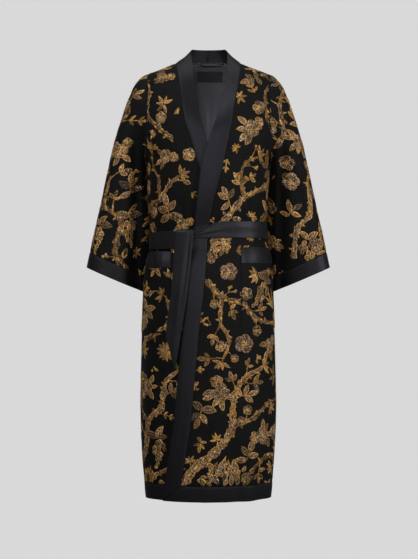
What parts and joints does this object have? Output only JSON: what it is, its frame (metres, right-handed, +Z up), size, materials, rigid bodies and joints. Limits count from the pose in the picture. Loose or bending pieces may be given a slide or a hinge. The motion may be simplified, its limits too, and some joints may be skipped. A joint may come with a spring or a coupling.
{
  "type": "kimono coat",
  "caption": "Knee-length wrap coat of black brocade with wide sleeves, satin bands, patch pockets and a tied belt, in its worn form with no wearer.",
  "frame": {"origin": "point between the two shoulder seams at the base of the neck, where the wearer's shoulders hold the coat", "axes": "+Z up, -Y towards the front, +X towards the wearer's left"},
  "size_m": [0.637, 0.2478, 1.1739],
  "materials": {
    "brocade": "black brocade with gold and bronze flowers and branches",
    "satin": "black satin with fine ribs",
    "lining": "dark grey-violet lining satin",
    "label": "plain black woven label, blank"
  },
  "bodies": {
    "root": {"back": "brocade", "left_front": "brocade", "right_front": "brocade", "left_sleeve": "brocade", "right_sleeve": "brocade", "left_cuff": "satin", "right_cuff": "satin", "left_band": "satin", "right_band": "satin", "back_hem": "satin", "left_hem": "satin", "right_hem": "satin", "left_pocket": "brocade", "right_pocket": "brocade", "left_pocket_band": "satin", "right_pocket_band": "satin", "belt": "satin", "belt_knot": "satin", "belt_end_front": "satin", "belt_end_back": "satin", "back_lining": "lining", "label": "label", "hanging_loop": "lining"}
  },
  "joints": []
}
